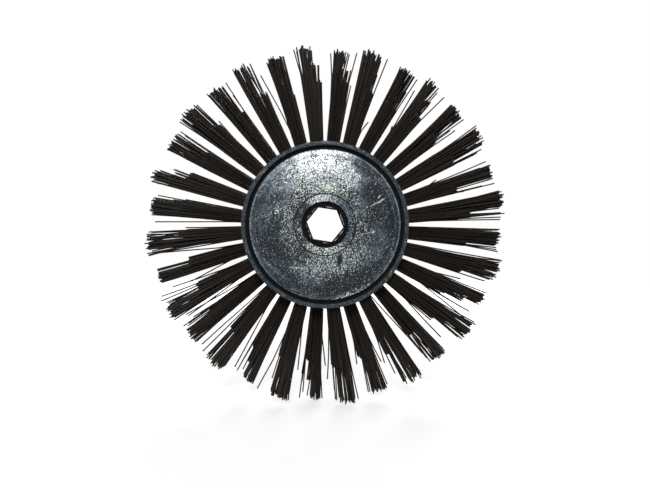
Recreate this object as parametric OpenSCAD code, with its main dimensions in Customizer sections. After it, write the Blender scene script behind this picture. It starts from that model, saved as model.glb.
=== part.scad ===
// Wire drum brush: one segment of a powered sweeping or scrubbing roller.
// A moulded drum carries two staggered rows of folded wire tufts and slides on a hexagonal shaft.
// The origin is the centre of the hub. The drum's axis lies along Y and its front face looks to -Y.

/* [Drum] */
// Outer radius of the drum that the tufts stand in
drum_r = 79.5; // [76:0.5:90]
// Distance from the mid plane to the edge of the drum's rim
rim_half_w = 26; // [25.5:0.5:32]
// Wall of the lip that stands round each cover
lip_wall = 4; // [3.5:0.5:6]
// Depth of the seat that each cover drops into, from the edge of the rim
seat_depth = 7.5; // [6:0.1:7.8]
// Radius of the round on the outer edge of each lip
lip_round = 1.4; // [0.4:0.1:2]
// Width of the bevel on the inner edge of each lip
lip_bevel = 0.6; // [0.2:0.1:1]
// Thickness of the solid plastic under the tuft holes
ring_floor = 7; // [4:0.5:10]
// Thickness of the web at the mid plane
web_t = 8; // [5:0.5:12]
// Number of stiffening ribs on each side of the web
rib_count = 8; // [4:1:12]
// Thickness of each rib
rib_t = 5; // [3:0.5:8]

/* [Boss] */
// Outer radius of the centre boss
boss_r = 29; // [28:0.5:32]
// Distance from the mid plane to the end face of the boss
boss_half_l = 28.5; // [28:0.5:36]
// Width of the bevel round each end face of the boss
boss_bevel = 0.5; // [0.2:0.1:1]
// Radius of the round recess in each end of the boss
recess_r = 22; // [20.5:0.1:23]
// Depth of each recess, down to the bush
recess_depth = 4; // [2:0.5:6]

/* [Hexagonal bush] */
// Size of the hexagonal shaft across its flats
shaft_af = 32; // [27:0.5:32]
// Clearance between the shaft and the bush, across the flats
shaft_clearance = 0.5; // [0.2:0.1:0.8]
// Angle of the hexagon's first corner, counter-clockwise from +X seen from the front
hex_turn = -9; // [-30:1:30]
// Radius of the countersink at each mouth of the hexagonal bore
sink_r = 17.7; // [17.2:0.1:18.4]
// Size of the bush's hexagonal waist across its flats
waist_af = 40; // [39:0.5:41]
// Radius of the bush's end flanges, which the boss is moulded over
flange_r = 25; // [24:0.1:26]
// Thickness of each end flange
flange_t = 5; // [3:0.5:8]

/* [Covers] */
// Clearance between a cover and what it drops into, per side
cover_clearance = 0.15; // [0.05:0.05:0.3]
// Width of the groove between a cover's dome and the lip
groove_w = 3.75; // [2:0.25:4]
// Thickness of the edge under the groove
edge_t = 2.5; // [2:0.1:3]
// Height of the dome's border above the edge
border_h = 3; // [2:0.1:3.5]
// Width of the border, from the groove to the shoulder
border_w = 4.5; // [3:0.5:6]
// Width of the shoulder, where the dome steps down to its border
shoulder_w = 3; // [2:0.5:8]
// Height that the shoulder falls
shoulder_fall = 0.3; // [0.1:0.1:1]
// Further height that the dome falls, from the boss to its outer edge
crown_fall = 3; // [0.8:0.1:4]
// Radius of the round at the dome's outer edge
dome_round = 1; // [0.5:0.1:1.4]
// Wall of the dome
cover_t = 3; // [2:0.1:4]
// Wall of the collar that stands round the boss
collar_t = 4; // [3:0.5:6]

/* [Wire tufts] */
// Number of tufts, shared by the two rows
tuft_count = 32; // [24:8:40]
// Angle of the first tuft, counter-clockwise from +X seen from the front
first_angle = 5.625; // [0:0.125:11.25]
// Distance between the two rows, along the drum's axis
row_pitch = 18; // [15.5:0.5:20]
// Diameter of each drilled tuft hole
hole_d = 13; // [10:0.25:13.5]
// Depth of each tuft hole
hole_depth = 18; // [14:0.5:20]
// Clearance between a pressed-in tuft and its hole, per side
hole_clearance = 0.05; // [0.02:0.01:0.2]
// Diameter of one wire
wire_d = 1.2; // [1:0.1:1.8]
// Gap between neighbouring wires
wire_gap = 0.1; // [0.05:0.05:0.4]
// Length of a tuft's long legs outside the drum
long_leg = 95.5; // [60:0.5:120]
// Length of a tuft's short legs outside the drum
short_leg = 61.5; // [30:0.5:90]
// Angle at which the outermost legs of a tuft lean outwards
fan_angle = 2.8; // [0:0.1:4]
// Length by which the wires' ends differ
ragged = 6; // [0:0.5:10]
// Depth of the pressed root's top below the drum's surface
root_sink = 1.5; // [0.5:0.25:3]

/* [Anchors] */
// Thickness of the flat wire that each anchor is cut from
anchor_t = 1; // [0.6:0.1:2]
// Height of an anchor
anchor_h = 4; // [2:0.5:6]
// Distance that each end of an anchor bites into the wall of its hole
anchor_bite = 0.8; // [0.3:0.1:1.2]
// Angle that each anchor is turned from the drum's axis, which puts the short legs in front
anchor_turn = 25; // [0:1:45]
// Clearance under the fold, above the bottom of the hole
fold_clearance = 0.3; // [0.1:0.1:1]

/* [Hidden] */
lip_r = drum_r - lip_wall;
seat_z = rim_half_w - seat_depth;
ring_r = drum_r - hole_depth - ring_floor;
recess_z = boss_half_l - recess_depth;
bore_af = shaft_af + shaft_clearance;

dome_r = lip_r - groove_w;
shoulder_end_r = dome_r - border_w;
shoulder_start_r = shoulder_end_r - shoulder_w;
cover_hole_r = boss_r + cover_clearance;
edge_z = seat_z + edge_t;
border_z = edge_z + border_h;

hole_r = hole_d / 2;
root_r = hole_r - hole_clearance;
fold_x = drum_r - hole_depth + fold_clearance + root_r;
root_top_x = drum_r - root_sink;
wire_r = wire_d / 2;
wire_pitch = wire_d + wire_gap;
row_rise = wire_pitch * sqrt(3) / 2;
long_reach = drum_r + long_leg;
short_reach = drum_r + short_leg;
fan_slope = tan(fan_angle) / root_r;
pattern_turns = 4;

// More steps on curves that are drawn from points
arc_steps = 6;
dome_steps = 20;
round_fn = 96;
wire_fn = 16;

TUFTS = [for (i = [1:tuft_count]) str("tuft_", i < 10 ? "0" : "", i)];

drum_colour = "#23272b";
cover_colour = "#2c3238";
bush_colour = "#161616";
wire_colour = "#2b2522";
anchor_colour = "#8d9194";

// Points along a quarter round about centre c, counter-clockwise from angle a
function quarter(c, r, a) = [
    for (k = [0:arc_steps]) c + r * [cos(a + 90 * k / arc_steps), sin(a + 90 * k / arc_steps)]
];

// A curve that leaves 0 and reaches 1 with no slope at either end
function ease(t) = (1 - cos(180 * min(1, max(0, t)))) / 2;

// Height of a cover's outer surface at radius r
function dome_z(r) = border_z
    + shoulder_fall * (1 - ease((r - shoulder_start_r) / shoulder_w))
    + crown_fall * (1 - pow((r - boss_r) / (dome_r - boss_r), 2));

// Radii at which a cover's outer surface is drawn, outwards from the boss
function dome_radii() = concat(
    [for (k = [0:dome_steps]) cover_hole_r + (shoulder_start_r - cover_hole_r) * k / dome_steps],
    [for (k = [1:arc_steps]) shoulder_start_r + shoulder_w * k / arc_steps],
    [for (k = [1:2]) shoulder_end_r + (border_w - dome_round) * k / 3]
);

// Every sub-part is drawn with the drum's axis along Z and its front up, and then stood on its rim
module stood() {
    rotate([90, 0, 0]) children();
}

// The same shape at both ends of the drum
module both_ends() {
    children();
    mirror([0, 0, 1]) children();
}

// A hexagonal prism about the drum's axis, centred on the mid plane
module hexagon(af, length) {
    rotate([0, 0, hex_turn]) cylinder(h = length, r = af / sqrt(3), center = true, $fn = 6);
}

// Angle of tuft i, and the height of its row
function tuft_angle(i) = first_angle + i * 360 / tuft_count;
function tuft_z(i) = (i % 2 == 0 ? 1 : -1) * row_pitch / 2;

// Children are drawn along +X, and placed in the hole of tuft i
module at_tuft(i) {
    rotate([0, 0, tuft_angle(i)]) translate([0, 0, tuft_z(i)]) children();
}

// Half of the drum's section, from the mid plane to the front edge
module drum_half_section() {
    polygon(concat(
        [
            [0, 0],
            [drum_r, 0]
        ],
        quarter([drum_r - lip_round, rim_half_w - lip_round], lip_round, 0),
        [
            [lip_r + lip_bevel, rim_half_w],
            [lip_r, rim_half_w - lip_bevel],
            [lip_r, seat_z],
            [ring_r, seat_z],
            [ring_r, web_t / 2],
            [boss_r, web_t / 2],
            [boss_r, boss_half_l - boss_bevel],
            [boss_r - boss_bevel, boss_half_l],
            [0, boss_half_l]
        ]
    ));
}

// Ribs that stiffen the web and carry the cover's collar
module drum_ribs() {
    for (k = [0:rib_count - 1]) {
        rotate([0, 0, k * 360 / rib_count])
            translate([boss_r - 1, -rib_t / 2, -seat_z])
                cube([ring_r - boss_r + 2, rib_t, 2 * seat_z]);
    }
}

// Blind hole of one tuft, with the two notches that its anchor bites
module tuft_hole() {
    translate([drum_r - hole_depth, 0, 0])
        rotate([0, 90, 0]) cylinder(h = hole_depth + 5, r = hole_r, $fn = round_fn);
    anchor();
}

// Outside of the hexagonal bush: a hexagonal waist between two round flanges
module bush_outside() {
    hexagon(waist_af, 2 * recess_z);
    both_ends() translate([0, 0, recess_z - flange_t])
        cylinder(h = flange_t, r = flange_r, $fn = round_fn);
}

// Moulded drum: ring with the tuft holes, web, ribs and centre boss
module drum_core() {
    color(drum_colour) stood() difference() {
        union() {
            both_ends() rotate_extrude($fn = 2 * round_fn) drum_half_section();
            drum_ribs();
        }
        bush_outside();
        cylinder(h = 2 * boss_half_l + 2, r = recess_r, center = true, $fn = round_fn);
        for (i = [0:tuft_count - 1]) at_tuft(i) tuft_hole();
    }
}

// Bush with the hexagonal bore, countersunk at both mouths
module hex_bush() {
    color(bush_colour) stood() difference() {
        bush_outside();
        hexagon(bore_af, 2 * recess_z + 2);
        both_ends() translate([0, 0, recess_z - sink_r])
            cylinder(h = sink_r + 1, r1 = 0, r2 = sink_r + 1, $fn = round_fn);
    }
}

// Section of a cover: domed wall, edge under the groove, and collar round the boss
module cover_section() {
    inside_r = cover_hole_r + collar_t;
    wall_end_r = dome_r - cover_t;
    round_r = dome_r - dome_round;
    radii = dome_radii();
    polygon(concat(
        [
            [cover_hole_r, seat_z],
            [inside_r, seat_z]
        ],
        [
            for (k = [0:dome_steps])
                let (r = inside_r + (wall_end_r - inside_r) * k / dome_steps) [r, dome_z(r) - cover_t]
        ],
        [
            [wall_end_r, seat_z],
            [lip_r - cover_clearance, seat_z],
            [lip_r - cover_clearance, edge_z],
            [dome_r, edge_z]
        ],
        quarter([round_r, dome_z(round_r) - dome_round], dome_round, 0),
        [for (k = [len(radii) - 1:-1:0]) [radii[k], dome_z(radii[k])]]
    ));
}

// Domed cover, seated on the ring and the ribs
module cover() {
    color(cover_colour) rotate_extrude($fn = 2 * round_fn) cover_section();
}

module front_cover() {
    stood() cover();
}

module rear_cover() {
    stood() mirror([0, 0, 1]) cover();
}

// Flat anchor that holds the fold of one tuft down, drawn along +X from the fold
module anchor() {
    length = hole_d + 2 * anchor_bite;
    rotate([-anchor_turn, 0, 0])
        translate([fold_x, -anchor_t / 2, -length / 2]) cube([anchor_h, anchor_t, length]);
}

module front_anchors() {
    color(anchor_colour) stood() for (i = [0:2:tuft_count - 1]) at_tuft(i) anchor();
}

module rear_anchors() {
    color(anchor_colour) stood() for (i = [1:2:tuft_count - 1]) at_tuft(i) anchor();
}

// The legs of a tuft stand in rows on either side of the anchor, packed like the cells of a honeycomb
leg_rows = floor((root_r - anchor_t / 2 - wire_d) / row_rise) + 1;
function leg_row_y(m) = anchor_t / 2 + wire_r + m * row_rise;
function leg_row_span(m) = 2 * sqrt(max(0, pow(root_r - wire_r, 2) - pow(leg_row_y(m), 2)));
function leg_row_count(m) = floor(leg_row_span(m) / wire_pitch) + 1;
LEGS = [
    for (side = [1, -1])
        for (m = [0:leg_rows - 1])
            for (j = [0:leg_row_count(m) - 1])
                [side * leg_row_y(m), (j - (leg_row_count(m) - 1) / 2) * wire_pitch]
];

// Folded wires pressed into the hole: a plug with a round bottom, slotted by the anchor
module tuft_root() {
    difference() {
        union() {
            translate([fold_x, 0, 0]) sphere(r = root_r, $fn = round_fn);
            translate([fold_x, 0, 0])
                rotate([0, 90, 0]) cylinder(h = root_top_x - fold_x, r = root_r, $fn = round_fn);
        }
        anchor();
    }
}

// Legs of one tuft: the fold is off centre, so the legs on one side are longer.
// Each leg leans out in proportion to its distance from the middle of the tuft.
module tuft_legs(seed) {
    uneven = rands(0, ragged, len(LEGS), seed);
    for (k = [0:len(LEGS) - 1]) {
        tip = (LEGS[k][0] > 0 ? long_reach : short_reach) - uneven[k];
        lean = [1, fan_slope * LEGS[k][0], fan_slope * LEGS[k][1]];
        translate([root_top_x - 1, LEGS[k][0], LEGS[k][1]])
            rotate([0, acos(lean[2] / norm(lean)), atan2(lean[1], lean[0])])
                cylinder(h = tip - root_top_x + 1, r = wire_r, $fn = wire_fn);
    }
}

// One tuft. The ends repeat every quarter turn, which keeps the brush balanced.
module tuft(i) {
    color(wire_colour) stood() at_tuft(i) {
        tuft_root();
        rotate([-anchor_turn, 0, 0]) tuft_legs(1 + i % (tuft_count / pattern_turns));
    }
}

drum_core();
hex_bush();
front_cover();
rear_cover();
front_anchors();
rear_anchors();
for (i = [0:tuft_count - 1]) {
    tuft(i);
}
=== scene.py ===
"""Looks of a wire drum brush, one segment of a powered sweeping or scrubbing roller.

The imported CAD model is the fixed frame. The drum, the hexagonal bush and the anchors keep their CAD nodes and
get worked finishes. The two covers and the 32 tufts are replaced by finer surfaces of the same size.
The drum's axis lies along Y, its front looks to -Y and +Z is up. All lengths are in metres.
"""

import logging
import math
from dataclasses import dataclass
from enum import Enum
from typing import Sequence

import bpy
import numpy as np
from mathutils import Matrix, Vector


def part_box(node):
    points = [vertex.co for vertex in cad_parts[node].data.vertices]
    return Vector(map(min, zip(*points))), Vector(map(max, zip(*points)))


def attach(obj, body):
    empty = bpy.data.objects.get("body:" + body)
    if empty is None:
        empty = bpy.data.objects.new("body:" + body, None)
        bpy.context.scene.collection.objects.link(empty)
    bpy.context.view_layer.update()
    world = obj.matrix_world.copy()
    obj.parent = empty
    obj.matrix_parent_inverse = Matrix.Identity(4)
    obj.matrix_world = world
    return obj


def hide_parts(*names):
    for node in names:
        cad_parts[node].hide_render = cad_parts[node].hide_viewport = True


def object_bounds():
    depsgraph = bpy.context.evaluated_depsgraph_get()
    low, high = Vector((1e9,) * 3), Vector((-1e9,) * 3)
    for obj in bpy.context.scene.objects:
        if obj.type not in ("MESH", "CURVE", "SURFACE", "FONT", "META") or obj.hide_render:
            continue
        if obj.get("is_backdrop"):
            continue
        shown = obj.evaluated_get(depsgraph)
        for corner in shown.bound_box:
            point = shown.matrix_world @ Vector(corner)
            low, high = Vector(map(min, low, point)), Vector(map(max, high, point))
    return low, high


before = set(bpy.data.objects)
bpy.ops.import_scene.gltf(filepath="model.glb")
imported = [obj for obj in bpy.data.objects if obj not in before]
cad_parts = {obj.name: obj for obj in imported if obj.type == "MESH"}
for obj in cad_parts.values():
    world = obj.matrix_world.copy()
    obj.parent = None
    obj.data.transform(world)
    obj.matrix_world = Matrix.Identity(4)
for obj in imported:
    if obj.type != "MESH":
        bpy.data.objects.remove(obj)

BODY = "root"
WIRE_SEED = 20
Socket = bpy.types.NodeSocket
Colour = tuple[float, float, float, float]
Triple = tuple[float, float, float]
Span = tuple[float, float]
Sources = dict[str | int, object]


class Face(Enum):
    """The two faces of the drum, with the sign of Y on each side."""

    FRONT = -1
    REAR = 1

    def node(self, kind: str) -> str:
        """Name of the CAD node of a kind on this side."""
        return f"{self.name.lower()}_{kind}"


class Slot(Enum):
    """Material slots of the record."""

    DRUM = "drum_plastic"
    COVER = "cover_plastic"
    BUSH = "bush_plastic"
    WIRE = "wire_steel"
    ANCHOR = "anchor_steel"


# ---------------------------------------------------------------- node trees

# Numbers of a Mix node's sockets for colours. They have no names of their own.
MIX_SHARE, MIX_UNDER, MIX_OVER, MIX_RESULT = 0, 6, 7, 2


class Sheet:
    """One node tree, with short ways to add nodes and join them."""

    def __init__(self, tree: bpy.types.NodeTree) -> None:
        """Keeps the tree that is written to."""
        self.tree = tree

    def feed(self, node: bpy.types.Node, sources: Sources) -> None:
        """Links or sets a node's inputs.

        Args:
            node: The node.
            sources: What each input takes, a socket or a value, by the input's name or number.
        """
        for name, source in sources.items():
            if isinstance(source, bpy.types.NodeSocket):
                self.tree.links.new(source, node.inputs[name])
            else:
                node.inputs[name].default_value = source

    def add(self, kind: str, sources: Sources | None = None, **settings: object) -> bpy.types.Node:
        """Adds a node.

        Args:
            kind: Name of the node's type.
            sources: What its inputs take.
            settings: Values for its own properties.
        Returns:
            The new node.
        """
        node = self.tree.nodes.new(kind)
        for name, value in settings.items():
            setattr(node, name, value)
        self.feed(node, sources or {})
        return node

    def maths(self, operation: str, *sources: object) -> Socket:
        """Adds a Math node.

        Args:
            operation: Name of the operation.
            sources: Its inputs, each a socket or a number.
        Returns:
            The result's socket.
        """
        return self.add("ShaderNodeMath", dict(enumerate(sources)), operation=operation).outputs["Value"]

    def fold(self, operation: str, first: object, *others: object) -> Socket:
        """Adds a chain of Math nodes.

        Args:
            operation: Name of an operation on two inputs.
            first: What the chain begins with.
            others: What each node joins to the result so far.
        Returns:
            The last result's socket.
        """
        for other in others:
            first = self.maths(operation, first, other)
        return first

    def times(self, *sources: object) -> Socket:
        """Product of sockets or numbers."""
        return self.fold("MULTIPLY", *sources)

    def plus(self, *sources: object) -> Socket:
        """Sum of sockets or numbers."""
        return self.fold("ADD", *sources)

    def minus(self, whole: object, part: object) -> Socket:
        """Difference of two sockets or numbers."""
        return self.maths("SUBTRACT", whole, part)

    def highest(self, *sources: object) -> Socket:
        """Highest of sockets or numbers."""
        return self.fold("MAXIMUM", *sources)

    def lowest(self, *sources: object) -> Socket:
        """Lowest of sockets or numbers."""
        return self.fold("MINIMUM", *sources)

    def vector(self, operation: str, *sources: object) -> bpy.types.Node:
        """Adds a Vector Math node, whose result is its Vector or its Value."""
        return self.add("ShaderNodeVectorMath", dict(enumerate(sources)), operation=operation)

    def split(self, place: Socket) -> Sequence[Socket]:
        """X, Y and Z of a place."""
        return self.add("ShaderNodeSeparateXYZ", {"Vector": place}).outputs[:]

    def step(self, value: object, low: object, high: object, start: float = 0.0, end: float = 1.0) -> Socket:
        """Adds a smooth step.

        Args:
            value: What is measured.
            low: Value at which the step begins.
            high: Value at which it ends.
            start: Result below the step.
            end: Result above it.
        Returns:
            The result's socket.
        """
        sources = {"Value": value, "From Min": low, "From Max": high, "To Min": start, "To Max": end}
        return self.add("ShaderNodeMapRange", sources, interpolation_type="SMOOTHSTEP").outputs["Result"]

    def noise(self, place: Socket, scale: object, detail: float, distortion: float = 0.0) -> Socket:
        """Adds a noise texture.

        Args:
            place: Where it is read.
            scale: Cells in a metre.
            detail: Number of finer layers.
            distortion: How far the cells are pulled about.
        Returns:
            The socket of its value, near 0.5.
        """
        sources = {"Vector": place, "Scale": scale, "Detail": detail, "Distortion": distortion}
        return self.add("ShaderNodeTexNoise", sources).outputs["Fac"]

    def stretch(self, place: Socket, scale: Triple, turn: Triple = (0, 0, 0)) -> Socket:
        """Turns a place, in radians, and then stretches it.

        Args:
            place: The place.
            scale: Factor along each axis.
            turn: Angle about each axis.
        Returns:
            The new place's socket.
        """
        turned = self.add("ShaderNodeMapping", {"Vector": place, "Rotation": turn}, vector_type="POINT")
        return self.vector("MULTIPLY", turned.outputs["Vector"], scale).outputs["Vector"]

    def blend(self, share: object, under: object, over: object) -> Socket:
        """Mixes two colours.

        Args:
            share: Share of the second colour.
            under: First colour.
            over: Second colour.
        Returns:
            The mixed colour's socket.
        """
        sources = {MIX_SHARE: share, MIX_UNDER: under, MIX_OVER: over}
        return self.add("ShaderNodeMix", sources, data_type="RGBA").outputs[MIX_RESULT]

    def bump(self, height: Socket, depth: float, strength: float, under: Socket | None = None) -> Socket:
        """Adds a Bump node.

        Args:
            height: Height from 0 to 1.
            depth: What a height of 1 stands for, in metres.
            strength: Share of the effect.
            under: Normal that it works on.
        Returns:
            The normal's socket.
        """
        sources = {"Height": height, "Distance": depth, "Strength": strength}
        if under is not None:
            sources["Normal"] = under
        return self.add("ShaderNodeBump", sources).outputs["Normal"]


# ---------------------------------------------------------------- shared effects


@dataclass(frozen=True)
class Effect:
    """A shader node group that several finishes share, built once and placed with each one's own values."""

    name: str
    inputs: tuple[tuple[str, str], ...]
    outputs: tuple[tuple[str, str], ...]

    def wire(self, sheet: Sheet, given: dict[str, Socket]) -> dict[str, Socket]:
        """Draws the inside of the group.

        Args:
            sheet: The group's own tree.
            given: Sockets of its inputs by name.
        Returns:
            What each output takes, by name.
        """
        raise NotImplementedError

    def group(self) -> bpy.types.NodeTree:
        """Builds the group on first use.

        Returns:
            The group's tree.
        """
        tree = bpy.data.node_groups.get(self.name)
        if tree is None:
            tree = bpy.data.node_groups.new(self.name, "ShaderNodeTree")
            for name, kind in self.inputs:
                tree.interface.new_socket(name, in_out="INPUT", socket_type=kind)
            for name, kind in self.outputs:
                tree.interface.new_socket(name, in_out="OUTPUT", socket_type=kind)
            sheet = Sheet(tree)
            inlet, outlet = sheet.add("NodeGroupInput"), sheet.add("NodeGroupOutput")
            sheet.feed(outlet, self.wire(sheet, {name: inlet.outputs[name] for name, _ in self.inputs}))
        return tree

    def place(self, sheet: Sheet, values: dict[str, object]) -> dict[str, Socket]:
        """Places the group in a finish.

        Args:
            sheet: The material's tree.
            values: What each input takes, a socket or a value.
        Returns:
            Sockets of the outputs by name.
        """
        node = sheet.add("ShaderNodeGroup", node_tree=self.group())
        sheet.feed(node, values)
        return {name: node.outputs[name] for name, _ in self.outputs}


@dataclass(frozen=True)
class TurnedPlace(Effect):
    """Place round the drum's axis: the radius, and (cosine, sine, radius), which has no seam at any angle."""

    least: float = 1e-4

    def wire(self, sheet: Sheet, given: dict[str, Socket]) -> dict[str, Socket]:
        """Radius is the root of x squared plus z squared. Cosine and sine are x and z over the radius.

        Args:
            sheet: The group's own tree.
            given: Sockets of its inputs by name.
        Returns:
            What each output takes, by name.
        """
        x, _, z = sheet.split(given["Place"])
        squares = sheet.plus(sheet.times(x, x), sheet.times(z, z))
        radius = sheet.highest(sheet.maths("SQRT", squares), self.least)
        parts = {"X": sheet.maths("DIVIDE", x, radius), "Y": sheet.maths("DIVIDE", z, radius), "Z": radius}
        return {"Radius": radius, "Turned": sheet.add("ShaderNodeCombineXYZ", parts).outputs["Vector"]}


@dataclass(frozen=True)
class RingBand(Effect):
    """Mask of a band round the axis: 1 within half its width of its middle, and 0 past its soft edge."""

    def wire(self, sheet: Sheet, given: dict[str, Socket]) -> dict[str, Socket]:
        """The distance from the middle radius goes through a falling smooth step.

        Args:
            sheet: The group's own tree.
            given: Sockets of its inputs by name.
        Returns:
            What each output takes, by name.
        """
        away = sheet.maths("ABSOLUTE", sheet.minus(given["Radius"], given["Middle"]))
        edge = sheet.plus(given["Half width"], given["Softness"])
        return {"Mask": sheet.step(away, given["Half width"], edge, 1.0, 0.0)}


@dataclass(frozen=True)
class Grain(Effect):
    """Fine moulded grain, with bright specks such as dust leaves in its hollows."""

    turn: Triple = (0.7, 0.5, 0.9)
    detail: float = 1.0
    distortion: float = 0.5
    finer: float = 2.3
    threshold: float = 0.60
    threshold_fall: float = 0.14
    speck_edge: float = 0.08

    def wire(self, sheet: Sheet, given: dict[str, Socket]) -> dict[str, Socket]:
        """Half of each of two noises, one more than twice as fine as the other, add up to the height.

        They are read at a turned place, so that their cells don't line up with the face. The specks lie where
        the height is over a threshold, which falls as the share grows.

        Args:
            sheet: The group's own tree.
            given: Sockets of its inputs by name.
        Returns:
            What each output takes, by name.
        """
        scale = sheet.maths("DIVIDE", 1.0, given["Size"])
        turned = sheet.stretch(given["Place"], (1.0, 1.0, 1.0), self.turn)
        coarse = sheet.noise(turned, scale, self.detail, self.distortion)
        fine = sheet.noise(turned, sheet.times(scale, self.finer), self.detail, self.distortion)
        height = sheet.plus(sheet.times(coarse, 0.5), sheet.times(fine, 0.5))
        low = sheet.minus(self.threshold, sheet.times(given["Share"], self.threshold_fall))
        return {"Height": height, "Specks": sheet.step(height, low, sheet.plus(low, self.speck_edge))}


@dataclass(frozen=True)
class Patches(Effect):
    """Soft patches of haze, smears or scuffs: a noise that a smooth step turns into a mask."""

    detail: float = 5.0
    distortion: float = 1.2

    def wire(self, sheet: Sheet, given: dict[str, Socket]) -> dict[str, Socket]:
        """A layered and slightly pulled noise goes through a rising smooth step.

        Args:
            sheet: The group's own tree.
            given: Sockets of its inputs by name.
        Returns:
            What each output takes, by name.
        """
        cloud = sheet.noise(given["Place"], given["Scale"], self.detail, self.distortion)
        return {"Mask": sheet.step(cloud, given["Low"], given["High"])}


@dataclass(frozen=True)
class Blot(Effect):
    """Long or round blot on the drum's face: a smear, a clean spot, a scratch or a nick."""

    cells_in_half_width: float = 0.8
    detail: float = 3.0
    full: float = 0.35

    def wire(self, sheet: Sheet, given: dict[str, Socket]) -> dict[str, Socket]:
        """An ellipse: the root of the sum of both squared shares, made uneven by a noise, falls to a mask.

        Args:
            sheet: The group's own tree.
            given: Sockets of its inputs by name.
        Returns:
            What each output takes, by name.
        """
        about = {"Vector": given["Place"], "Center": given["Middle"], "Angle": given["Turn"]}
        turned = sheet.add("ShaderNodeVectorRotate", about, rotation_type="Y_AXIS").outputs["Vector"]
        x, _, z = sheet.split(sheet.vector("SUBTRACT", turned, given["Middle"]).outputs["Vector"])
        along = sheet.maths("DIVIDE", x, given["Half length"])
        across = sheet.maths("DIVIDE", z, given["Half width"])
        squares = sheet.plus(sheet.times(along, along), sheet.times(across, across))
        fineness = sheet.maths("DIVIDE", self.cells_in_half_width, given["Half width"])
        uneven = sheet.minus(sheet.noise(given["Place"], fineness, self.detail), 0.5)
        away = sheet.plus(sheet.maths("SQRT", squares), sheet.times(uneven, given["Unevenness"]))
        return {"Mask": sheet.step(away, self.full, 1.0, 1.0, 0.0)}


def sockets(*names: str) -> tuple[tuple[str, str], ...]:
    """Names and types of a group's sockets: vectors where a name ends with a star, and numbers elsewhere."""
    kinds = ("NodeSocketVector" if name.endswith("*") else "NodeSocketFloat" for name in names)
    return tuple(zip((name.rstrip("*") for name in names), kinds))


TURNED = TurnedPlace("turned_place", sockets("Place*"), sockets("Radius", "Turned*"))
RING = RingBand("ring_band", sockets("Radius", "Middle", "Half width", "Softness"), sockets("Mask"))
GRAIN = Grain("moulded_grain", sockets("Place*", "Size", "Share"), sockets("Height", "Specks"))
BLOT = Blot(
    "uneven_blot",
    sockets("Place*", "Middle*", "Turn", "Half length", "Half width", "Unevenness"),
    sockets("Mask"),
)
PATCHES = Patches("soft_patches", sockets("Place*", "Scale", "Low", "High"), sockets("Mask"))


@dataclass(frozen=True)
class Ramp:
    """A smooth step in numbers: where it begins and ends, and its results below and above."""

    low: float
    high: float
    start: float = 0.0
    end: float = 1.0

    def of(self, sheet: Sheet, value: Socket) -> Socket:
        """The step's result for a value."""
        return sheet.step(value, self.low, self.high, self.start, self.end)


@dataclass(frozen=True)
class Band:
    """A ring in numbers: its middle radius, half its width, and the width of its soft edges."""

    middle: float
    half_width: float
    softness: float

    def mask(self, sheet: Sheet, radius: Socket) -> Socket:
        """Mask of the ring, for a distance from its centre."""
        sizes = {"Middle": self.middle, "Half width": self.half_width, "Softness": self.softness}
        return RING.place(sheet, {"Radius": radius, **sizes})["Mask"]


@dataclass(frozen=True)
class Clouds:
    """Soft patches in numbers: cells in a metre, and the noise at which a patch begins and is full."""

    scale: float
    low: float
    high: float

    def mask(self, sheet: Sheet, place: Socket) -> Socket:
        """Mask of the patches at a place."""
        sizes = {"Scale": self.scale, "Low": self.low, "High": self.high}
        return PATCHES.place(sheet, {"Place": place, **sizes})["Mask"]


# ---------------------------------------------------------------- finishes


@dataclass(frozen=True)
class Finish:
    """A finish with its own material. Each kind of finish draws its own nodes."""

    name: str

    def draw(self, sheet: Sheet, surface: bpy.types.Node, place: Socket) -> None:
        """Feeds the material's surface.

        Args:
            sheet: The material's tree.
            surface: Its Principled BSDF.
            place: Object coordinates.
        """
        raise NotImplementedError

    def material(self) -> bpy.types.Material:
        """Makes the finish's material on first use.

        Returns:
            The material.
        """
        made = bpy.data.materials.get(self.name)
        if made is None:
            made = bpy.data.materials.new(self.name)
            made.use_nodes = True
            sheet = Sheet(made.node_tree)
            surface = made.node_tree.nodes["Principled BSDF"]
            place = sheet.add("ShaderNodeTexCoord").outputs["Object"]
            self.draw(sheet, surface, place)
        return made


class MarkKind(Enum):
    """What a mark on a cover is."""

    FILM = "film"
    CLEAN = "clean"
    DUST = "dust"
    SCRATCH = "scratch"
    NICK = "nick"


@dataclass(frozen=True)
class Mark:
    """One mark of use on a cover: its place, its turn in degrees from +X towards +Z, and its half sizes."""

    x: float
    z: float
    turn: float
    half_length: float
    half_width: float
    strength: float = 1.0
    unevenness: float = 0.9

    def mask(self, sheet: Sheet, place: Socket) -> Socket:
        """Places the mark's blot.

        Args:
            sheet: The material's tree.
            place: Object coordinates.
        Returns:
            The socket of its mask, times its strength.
        """
        blot = BLOT.place(sheet, {
            "Place": place,
            "Middle": (self.x, 0.0, self.z),
            "Turn": math.radians(self.turn),
            "Half length": self.half_length,
            "Half width": self.half_width,
            "Unevenness": self.unevenness,
        })
        return sheet.times(blot["Mask"], self.strength)


@dataclass(frozen=True)
class Marks:
    """All marks of use on one moulding, by kind."""

    rows: dict[MarkKind, tuple[tuple[float, ...], ...]]

    def mask(self, sheet: Sheet, place: Socket, kind: MarkKind) -> Socket:
        """Joins the masks of all marks of one kind.

        Args:
            sheet: The material's tree.
            place: Object coordinates.
            kind: Which marks.
        Returns:
            The socket of the highest mask at each point.
        """
        nothing = sheet.plus(0.0, 0.0)
        return sheet.highest(nothing, *(Mark(*row).mask(sheet, place) for row in self.rows.get(kind, ())))


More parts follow.
